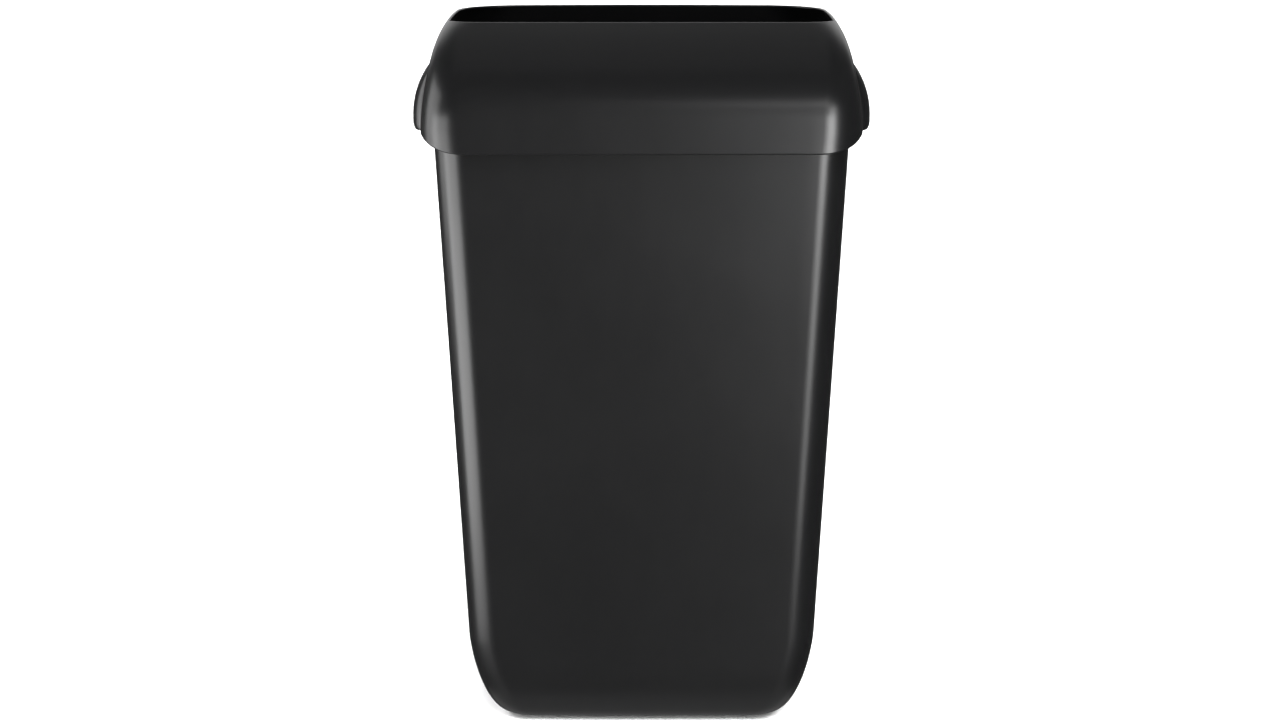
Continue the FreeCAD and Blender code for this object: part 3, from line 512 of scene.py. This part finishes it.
def make_grip(name, side):
    """The outer skin, a half round foot, then the inner skin back up: one closed loop of rows."""
    outer = grip_skin(side, 0.0, GRIP_LOW + WALL / 2, GRIP_TOP)[::-1]
    inner = grip_skin(side, WALL, GRIP_LOW + WALL / 2, GRIP_TOP - GRIP_ROOF)
    turn = arc(0, 180, 8)[1:-1, None, None]
    middle, half = (outer[-1] + inner[0]) / 2, (outer[-1] - inner[0]) / 2
    foot = middle + half * np.cos(turn) - np.array([0, 0, WALL / 2]) * np.sin(turn)
    loop = np.concatenate([outer, foot, inner])
    rows, columns = loop.shape[:2]
    faces = [tuple(face) for face in quads(rows, columns, wrap_rows=True)]
    flat = np.arange(rows * columns).reshape(rows, columns)
    faces.append(tuple(flat[:, 0][::-1]))
    faces.append(tuple(flat[:, -1]))
    piece = make_piece(name, loop, faces, flip=side > 0)
    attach(piece, "hood")
    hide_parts(name.replace("scoop", "grip"))
    return piece


grips = [make_grip("scoop_left", -1), make_grip("scoop_right", 1)]

# %% [markdown]
# ## Bosses, ledges and seat ribs
#
# Small solid blocks are moulded onto the walls: a boss behind for the hanger, two inside for the ring's
# clips, three ledges that the ring rests on, and short ribs under the hood that sit on the tub's rim. Each
# is a block sunk into its wall. A Bevel modifier rounds its edges as a moulding's are, which is simpler
# than working out eight corners and twelve edges by formula.

# %% Rounded blocks


def blocks(name, boxes, body, rounding):
    """One piece made of rounded blocks. Each box gives its two ends along x, y and z, in
    millimetres, and each of its eight corners picks one end of every pair."""
    ends = np.sort(np.array(boxes) * MM, axis=2)
    pick = np.array([[x, y, z] for z in (0, 1) for y in (0, 1) for x in (0, 1)])
    corners = np.where(pick[None], ends[:, None, :, 1], ends[:, None, :, 0])
    sides = np.array([(0, 2, 3, 1), (4, 5, 7, 6), (0, 1, 5, 4), (1, 3, 7, 5), (3, 2, 6, 7), (2, 0, 4, 6)])
    faces = (sides[None] + 8 * np.arange(len(boxes))[:, None, None]).reshape(-1, 4)
    piece = make_piece(name, corners, faces)
    bevel = piece.modifiers.new("rounded edges", "BEVEL")
    bevel.width = rounding * MM
    bevel.segments = 3
    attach(piece, body)
    return piece


def about(middle, half):
    """The two ends of a run: the middle less and plus half its length."""
    return middle - half, middle + half


def on_side(side, ends):
    """The same run on the right or back, for side 1, or on the left or front, for side -1."""
    return side * ends[0], side * ends[1]


# %% Hanger boss and clip bosses (millimetres)
HANGER_BOSS = (about(0, 70), (128.5, 136), (452, 522))
CLIP_PLACE = 90
CLIP_HALF = 10
CLIP_DEPTH = (127.5, 133.7)
CLIP_RISE = (541, 579)

hanger_boss = blocks("hanger_boss", [HANGER_BOSS], "bin", rounding=0.9)
clip_boxes = [(about(side * CLIP_PLACE, CLIP_HALF), CLIP_DEPTH, CLIP_RISE) for side in (-1, 1)]
clip_bosses = blocks("clip_bosses", clip_boxes, "bin", rounding=0.7)

# %% Ring ledges and seat ribs (millimetres)
LEDGE_WIDTH = about(0, 15)
LEDGE_RISE = (550.6, 556.6)
SIDE_LEDGE_REACH = (172, 185.5)
FRONT_LEDGE_REACH = (-132.5, -121)
RIB_HALF = 1.2
RIB_RISE = (600.4, 605.2)
SIDE_RIB_REACH = (187.5, 195)
END_RIB_REACH = (133.5, 142.6)

ledges = [(on_side(side, SIDE_LEDGE_REACH), LEDGE_WIDTH, LEDGE_RISE) for side in (1, -1)]
ledges.append((LEDGE_WIDTH, FRONT_LEDGE_REACH, LEDGE_RISE))
ring_ledges = blocks("ring_ledges", ledges, "bin", rounding=0.8)
side_ribs = [
    (on_side(side, SIDE_RIB_REACH), about(y, RIB_HALF), RIB_RISE) for side in (-1, 1) for y in (-60, 0, 60)
]
end_ribs = [
    (about(x, RIB_HALF), on_side(side, END_RIB_REACH), RIB_RISE) for side in (-1, 1) for x in (-80, 80)
]
seat_ribs = blocks("seat_ribs", side_ribs + end_ribs, "hood", rounding=0.4)

# %% [markdown]
# ## The bag ring
#
# The ring is round steel wire: a bow bent to a U and a straight hinge bar. Where an arm meets the bar the
# weld leaves a small collar, so the wire's radius swells over its last few millimetres. A curve with a
# round bevel would make the wire too, but not the collars and the soft tips.

# %% A wire along a path
TIP_SHARE = 0.6


def wire(name, path, radius, swell=0.0, swell_length=6 * MM, around=20):
    """A round wire along a level path. A ring's points are the path's point plus the radius times
    cos(a) of the level normal and sin(a) of the vertical. The ends shrink to soft tips, each a
    flattened half circle."""
    path = np.asarray(path, float)
    tangent = unit(np.gradient(path, axis=0))
    level = np.stack([-tangent[:, 1], tangent[:, 0], 0 * tangent[:, 0]], axis=1)
    along = np.concatenate([[0], np.cumsum(np.linalg.norm(np.diff(path, axis=0), axis=1))])
    from_end = np.minimum(along, along[-1] - along)
    girth = radius + swell * np.clip(1 - from_end / swell_length, 0, 1) ** 0.5
    tip = arc(90, 0, 6, ends=False)
    tip_length = TIP_SHARE * radius
    start = path[0] - tangent[0] * tip_length * np.sin(tip)[:, None]
    stop = path[-1] + tangent[-1] * tip_length * np.sin(tip[::-1])[:, None]
    centre = np.concatenate([start, path, stop])
    level = np.concatenate([np.repeat(level[:1], len(tip), 0), level, np.repeat(level[-1:], len(tip), 0)])
    taper = np.concatenate([girth[0] * np.cos(tip), girth, girth[-1] * np.cos(tip[::-1])])
    turn = arc(0, 360, around, ends=False)[None, :, None]
    ring = level[:, None] * np.cos(turn) + np.array([0, 0, 1]) * np.sin(turn)
    points, faces = pole_grid(centre[:, None] + taper[:, None, None] * ring)
    piece = make_piece(name, points, faces)
    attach(piece, "bag_ring")
    return piece


# %% The bow and the hinge bar
RING_HALF = 172 * MM
RING_FRONT = 127.5 * MM
RING_AXIS = 124.2 * MM
RING_LEVEL = 560 * MM
RING_BEND = 24 * MM
WIRE_RADIUS = 3 * MM
WELD_SWELL = 0.5 * MM
BAR_OVERRUN = 0.5 * MM


def bow_path():
    """Forward along the right arm, round both bends and back along the left arm. A bend's point is
    its centre plus the bend's radius times cos(a) and sin(a); the left half mirrors the right."""
    arm_end = RING_AXIS - WIRE_RADIUS
    arm = np.linspace(arm_end, RING_BEND - RING_FRONT, 40)[:-1]
    bend = arc(0, -90, 14)
    front = np.linspace(RING_HALF - RING_BEND, 0, 24)[1:]
    right_x = np.concatenate([RING_HALF + 0 * arm, RING_HALF - RING_BEND * (1 - np.cos(bend)), front])
    bend_y = RING_BEND - RING_FRONT + RING_BEND * np.sin(bend)
    right_y = np.concatenate([arm, bend_y, -RING_FRONT + 0 * front])
    x = np.concatenate([right_x, -right_x[-2::-1]])
    y = np.concatenate([right_y, right_y[-2::-1]])
    return np.stack([x, y, RING_LEVEL + 0 * x], axis=1)


ring_bow = wire("ring_bow_wire", bow_path(), WIRE_RADIUS, swell=WELD_SWELL)
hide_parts("ring_bow")
bar_half = RING_HALF + BAR_OVERRUN - TIP_SHARE * WIRE_RADIUS
bar_x = np.linspace(-bar_half, bar_half, 60)
bar_path = np.stack([bar_x, RING_AXIS + 0 * bar_x, RING_LEVEL + 0 * bar_x], axis=1)
hinge_bar = wire("hinge_bar_wire", bar_path, WIRE_RADIUS)
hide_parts("ring_hinge_bar")

# %% [markdown]
# ## The foot pads
#
# Four rubber pads press into the floor of the tub. Each is a turned form: a pad with a rounded foot, and
# a stem with a soft head that snaps through its hole. Blender's Screw modifier turns a profile too. Here
# the turning is one line of arithmetic, and pole_grid from above closes both ends.

# %% Turned pads


def turned(name, profile, place, body, around=40):
    """A surface of revolution. Each profile row is a radius and a height in millimetres, and its
    points are the place plus the radius times cos(a) and sin(a)."""
    profile = np.array(profile) * MM
    turn = arc(0, 360, around, ends=False)
    radius, height = profile[:, :1], profile[:, 1:]
    grid = np.stack(
        [place[0] + radius * np.cos(turn), place[1] + radius * np.sin(turn), height + 0 * turn], axis=-1
    )
    points, faces = pole_grid(grid)
    piece = make_piece(name, points, faces)
    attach(piece, body)
    return piece


# Each row: radius and height, up the outside from the middle of the foot to the tip of the stem.
PAD_PROFILE = [
    (0, 0.4), (6, 0.4), (7.5, 0.2), (8.5, 0.02), (10.6, 0), (11.4, 0.3), (11.9, 1), (12, 1.7),
    (11.9, 2.5), (11.4, 2.9), (10.6, 3), (4.2, 3), (3.9, 3.4), (3.9, 5.9), (4.4, 6.1), (5.3, 6.4),
    (5.5, 6.9), (5.1, 7.5), (3.6, 8), (0, 8.15),
]
PAD_PLACES = {
    "front_left": (-98, -50),
    "front_right": (98, -50),
    "rear_left": (-98, 70),
    "rear_right": (98, 70),
}
pads = []
for corner, (x, y) in PAD_PLACES.items():
    pad = turned(f"rubber_pad_{corner}", PAD_PROFILE, (x * MM, y * MM), "bin")
    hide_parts(f"foot_pad_{corner}")
    pads.append(pad)

# %% [markdown]
# ## Working out a finish
#
# A finish is sums over a few noise patterns. This class lets those sums be written as ordinary
# arithmetic: each operation on it adds one Math node and gives back its result. The nodes could be placed
# one by one instead, but a line such as patches * 0.7 + grain * 0.3 says what it does.

# %% Shader arithmetic


class Amount:
    """A shader value that can be added, subtracted and multiplied, on either side of a number."""

    def __init__(self, finish, socket):
        self.finish, self.socket = finish, socket

    def math(self, operation, first, second):
        return self.finish.node("Math", {"operation": operation}, {0: first, 1: second})

    def __add__(self, other):
        return self.math("ADD", self, other)

    def __sub__(self, other):
        return self.math("SUBTRACT", self, other)

    def __rsub__(self, other):
        return self.math("SUBTRACT", other, self)

    def __mul__(self, other):
        return self.math("MULTIPLY", self, other)

    __radd__, __rmul__ = __add__, __mul__


# %% [markdown]
# A finish holds one Principled shader. What is the same all over the surface is set on the shader itself,
# and what changes over it is linked: colour, roughness and a bump. Patterns are read from the piece's own
# coordinates in metres, so they stay on the piece when it moves.

# %% A finish
SHADER_INPUTS = {"metallic": "Metallic", "ior": "IOR"}


class Finish:
    """A material with one Principled shader."""

    def __init__(self, name, **constants):
        self.material = bpy.data.materials.new(name)
        self.material.use_nodes = True
        self.tree = self.material.node_tree
        self.shader = self.tree.nodes["Principled BSDF"]
        for socket, number in constants.items():
            self.shader.inputs[SHADER_INPUTS[socket]].default_value = number
        self.place = self.node("TexCoord", {}, {}, output="Object")

    def node(self, kind, settings, inputs, output=0):
        """Any node: its settings first, then its inputs, then the wanted output."""
        node = self.tree.nodes.new("ShaderNode" + kind)
        for setting, value in settings.items():
            setattr(node, setting, value)
        for socket, value in inputs.items():
            self.feed(node.inputs[socket], value)
        return Amount(self, node.outputs[output])

    def feed(self, socket, value):
        """Link a worked-out value to a socket, or set a plain number on it."""
        if isinstance(value, Amount):
            self.tree.links.new(value.socket, socket)
        else:
            socket.default_value = value

    def noise(self, scale, detail=2.0, stretch=None):
        """Noise from 0 to 1 with this many lumps to the metre. A stretch below 1 along an axis
        draws the lumps out along it."""
        place = self.place
        if stretch is not None:
            place = self.node("Mapping", {}, {"Vector": place, "Scale": stretch})
        return self.node("TexNoise", {}, {"Vector": place, "Scale": scale, "Detail": detail})

    def colour(self, share, dark, light):
        """The dark colour where the share is 0, the light one where it is 1."""
        settings = {"data_type": "RGBA", "clamp_factor": True}
        mix = self.node("Mix", settings, {0: share, 6: (*dark, 1), 7: (*light, 1)}, output=2)
        self.feed(self.shader.inputs["Base Color"], mix)

    def roughness(self, amount):
        self.feed(self.shader.inputs["Roughness"], amount)

    def bump(self, height, depth, strength=1.0):
        """A relief whose full height is this depth, in metres."""
        inputs = {"Height": height, "Distance": depth, "Strength": strength}
        self.feed(self.shader.inputs["Normal"], self.node("Bump", {}, inputs))


# %% [markdown]
# ## The finishes
#
# The mouldings are black polypropylene with a satin face. The mould leaves a very fine grain and a slow
# unevenness of gloss. A scanned texture would need unwrapping and would repeat, and noise on the piece's
# own coordinates avoids both. The colour is nearly black, because almost all that is seen is reflection.

# %% Black plastic
PLASTIC_ROUGHNESS = 0.26
PLASTIC_IOR = 1.46


def black_plastic():
    """Patches and grain mix two near blacks; patches and handling marks vary the roughness."""
    finish = Finish("satin_black_plastic", ior=PLASTIC_IOR)
    patches = finish.noise(7.0, detail=3.0)
    grain = finish.noise(1500.0, detail=1.0)
    handling = finish.noise(60.0, detail=4.0, stretch=(1.0, 1.0, 0.35))
    finish.colour(patches * 0.7 + grain * 0.3, (0.0024, 0.0024, 0.0026), (0.0036, 0.0036, 0.0038))
    finish.roughness(patches * 0.05 + handling * 0.035 + PLASTIC_ROUGHNESS)
    finish.bump(grain + patches * 0.4, 0.00003, 0.5)
    return finish.material


plastic = black_plastic()
for piece in (tub, hood, *grips, hanger_boss, clip_bosses, ring_ledges, seat_ribs):
    piece.data.materials.append(plastic)
print(plastic.name, "with", len(plastic.node_tree.nodes), "nodes")

# %% [markdown]
# The sheet steel is galvanised, with its patchy spangle: each cell of a Voronoi pattern is one flake, a
# little lighter or darker and a little duller or brighter than its neighbours. The screws and nuts are
# zinc plated and cloudy. The wire is drawn and then plated, so its marks are drawn out level, as it runs.
# The sheet parts, screws and nuts keep their CAD meshes, because folded and turned steel has crisp edges,
# and they only get a finish.

# %% Steel finishes


def galvanised_sheet():
    """Each flake has one shade and one roughness, with a fine noise over both."""
    finish = Finish("galvanised_sheet", metallic=1.0)
    spangle = finish.node("TexVoronoi", {}, {"Vector": finish.place, "Scale": 150.0}, output="Color")
    flake = finish.node("SeparateColor", {}, {"Color": spangle})
    fine = finish.noise(900.0)
    finish.colour(flake * 0.6 + fine * 0.4, (0.40, 0.41, 0.43), (0.62, 0.63, 0.64))
    finish.roughness(flake * 0.16 + fine * 0.05 + 0.3)
    finish.bump(fine, 0.00003, 0.4)
    return finish.material


def zinc_plating():
    """One cloudy noise drives the shade and the roughness."""
    finish = Finish("zinc_plating", metallic=1.0)
    cloud = finish.noise(220.0, detail=3.0)
    finish.colour(cloud, (0.50, 0.51, 0.53), (0.70, 0.70, 0.70))
    finish.roughness(cloud * 0.15 + 0.24)
    finish.bump(cloud, 0.00002, 0.4)
    return finish.material


def drawn_wire():
    """Clouds with level draw marks over them."""
    finish = Finish("drawn_zinc_wire", metallic=1.0)
    cloud = finish.noise(80.0, detail=3.0)
    draw_marks = finish.noise(1600.0, detail=1.0, stretch=(0.15, 0.15, 1.0))
    finish.colour(cloud * 0.6 + draw_marks * 0.4, (0.42, 0.43, 0.44), (0.62, 0.62, 0.63))
    finish.roughness(cloud * 0.12 + draw_marks * 0.08 + 0.24)
    finish.bump(draw_marks, 0.00002, 0.5)
    return finish.material


ring_steel = drawn_wire()
for piece in (ring_bow, hinge_bar):
    piece.data.materials.append(ring_steel)
cad_finishes = {
    galvanised_sheet(): ("hanger_plate", "wall_bracket", "ring_clip_left", "ring_clip_right"),
    zinc_plating(): ("hanger_screws", "hanger_nuts", "clip_screws", "grip_screws"),
}
for material, nodes in cad_finishes.items():
    for name in nodes:
        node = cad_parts[name]
        node.data.materials.clear()
        node.data.materials.append(material)
    print(material.name, "on", *nodes)

# %% [markdown]
# The pads are matt rubber: nearly black, rough, and speckled with a bump so small that it only breaks up
# the highlight.

# %% Rubber


def matt_rubber():
    """One fine speck drives the shade, the roughness and the relief."""
    finish = Finish("matt_rubber")
    speck = finish.noise(1100.0)
    finish.colour(speck, (0.012, 0.012, 0.012), (0.030, 0.030, 0.030))
    finish.roughness(speck * 0.15 + 0.68)
    finish.bump(speck, 0.00006, 0.6)
    return finish.material


rubber = matt_rubber()
for pad in pads:
    pad.data.materials.append(rubber)
print("finishes on", len(bpy.data.materials), "materials")

# %% [markdown]
# ## The studio
#
# The camera stands in front, a little above the bin, and looks down at it. Its lens is long, as for a
# catalogue, so that the upright edges stay nearly parallel.

# %% Camera
CAMERA_PLACE = (-0.0014, -2.20205, 0.84635)
CAMERA_TILT = 13.0
LENS = 65.6

scene = bpy.context.scene
camera_data = bpy.data.cameras.new("camera")
camera_data.sensor_width = 36
camera_data.lens = LENS
camera = bpy.data.objects.new("camera", camera_data)
camera.location = CAMERA_PLACE
camera.rotation_euler = (math.radians(90 - CAMERA_TILT), 0, 0)
scene.collection.objects.link(camera)
scene.camera = camera
scene.view_settings.view_transform = "Standard"
print("camera", [round(v, 3) for v in camera.location], "tilted", CAMERA_TILT, "degrees")

# %% [markdown]
# A plain pale floor reaches past the view, so it is also the background. Reflections leave it out,
# because glossy black faces would mirror it and turn grey, and it stops no light, so that soft boxes can
# stand below it. A floor that took part in everything would be simpler, but it would hide the lights
# that draw the lower half of each highlight.

# %% Floor
FLOOR_SIDE = 30
FLOOR_BEHIND = 60

floor_corners = [
    (-FLOOR_SIDE, -FLOOR_SIDE, 0),
    (FLOOR_SIDE, -FLOOR_SIDE, 0),
    (FLOOR_SIDE, FLOOR_BEHIND, 0),
    (-FLOOR_SIDE, FLOOR_BEHIND, 0),
]
floor_mesh = bpy.data.meshes.new("floor")
floor_mesh.from_pydata(floor_corners, [], [(0, 1, 2, 3)])
floor = bpy.data.objects.new("floor", floor_mesh)
scene.collection.objects.link(floor)
floor_paint = Finish("pale_floor")
floor_cloud = floor_paint.noise(3.0)
floor_paint.colour(floor_cloud, (0.90, 0.90, 0.90), (0.92, 0.92, 0.92))
floor_paint.roughness(floor_cloud * 0.05 + 0.88)
floor_mesh.materials.append(floor_paint.material)
floor.visible_glossy = False
floor.visible_shadow = False
print("floor", 2 * FLOOR_SIDE, "m wide")

# %% [markdown]
# Black plastic shows hardly anything but its highlights, so each soft box is there for one of them. Boxes
# at the left, above and below the floor, draw the broad light on the left corners. Narrower and brighter
# ones at the right draw the crisp line down the right corners. Weaker ones in front, above, below and
# behind keep the remaining faces from going quite black.

# %% Soft boxes


def aim(item, target):
    """Turn a light so that it shines from where it is towards the target."""
    direction = Vector(target) - Vector(item.location)
    item.rotation_euler = direction.to_track_quat("-Z", "Y").to_euler()


def soft_box(name, azimuth, distance, height, width, tall, radiance):
    """A soft box on a circle about the bin, aimed level at its axis. The azimuth is in degrees
    from straight in front, to the right. Its power is pi times its area times its radiance."""
    data = bpy.data.lights.new(name, "AREA")
    data.shape = "RECTANGLE"
    data.size, data.size_y = width, tall
    data.energy = math.pi * width * tall * radiance
    light = bpy.data.objects.new(name, data)
    turn = math.radians(azimuth)
    light.location = (distance * math.sin(turn), -distance * math.cos(turn), height)
    aim(light, (0, 0, height))
    light.visible_camera = False
    scene.collection.objects.link(light)
    return light


# Each row: name, azimuth, distance, height, width, tallness, radiance.
SOFT_BOXES = [
    ("left_low", -61, 2.0, 0.30, 1.65, 0.6, 5.0),
    ("left_lower", -60, 2.0, -0.35, 1.8, 0.7, 8.5),
    ("left_tall", -88, 2.0, 0.9, 1.5, 1.8, 3.3),
    ("right_low", 28, 2.0, 0.34, 0.74, 0.62, 17.5),
    ("right_lower", 30, 2.0, -0.30, 0.60, 0.62, 6),
    ("right_upper", 33, 2.0, 0.95, 0.60, 0.55, 8),
    ("right_high", 16, 2.0, 1.5, 0.6, 0.55, 4),
    ("right_middle", 16, 2.0, 0.9, 0.6, 0.6, 1.1),
    ("front_below", 6, 2.4, -0.7, 3.0, 1.7, 0.04),
    ("overhead", 180, 0.45, 3.0, 2.0, 2.0, 0.15),
    ("under", 0, 0.1, -1.0, 2.0, 2.0, 0.35),
    ("behind", 180, 2.5, 2.0, 4.0, 2.0, 1.3),
]
STRAIGHT_DOWN, STRAIGHT_UP = (0, 0, 0), (math.pi, 0, 0)
NOT_LEVEL = {"overhead": STRAIGHT_DOWN, "under": STRAIGHT_UP}

for name, *settings in SOFT_BOXES:
    light = soft_box(name, *settings)
    if name in NOT_LEVEL:
        light.rotation_euler = NOT_LEVEL[name]
print("soft boxes", len(SOFT_BOXES))

# %% [markdown]
# Three wide suns light the floor evenly until it is white. The bin doesn't mirror them, so they leave no
# highlight of their own on it. The rest of the room is a very dark grey.

# %% Suns and the room
SUNS = ((4.0, 0.5, 3.4, 3.0), (-4.0, 0.5, 3.4, 3.0), (0.6, -3.0, 3.6, 5.0))
SUN_WIDTH = math.radians(30)
WORLD_LEVEL = 0.06

for x, y, z, strength in SUNS:
    sun_data = bpy.data.lights.new("fill", "SUN")
    sun_data.energy = strength
    sun_data.angle = SUN_WIDTH
    sun = bpy.data.objects.new("fill", sun_data)
    sun.location = (x, y, z)
    aim(sun, (0, 0, 0))
    sun.visible_camera = False
    sun.visible_glossy = False
    scene.collection.objects.link(sun)

world = bpy.data.worlds.new("studio")
world.use_nodes = True
world.node_tree.nodes["Background"].inputs["Color"].default_value = (1, 1, 1, 1)
world.node_tree.nodes["Background"].inputs["Strength"].default_value = WORLD_LEVEL
scene.world = world
print("suns", len(SUNS), "and a room at", WORLD_LEVEL)
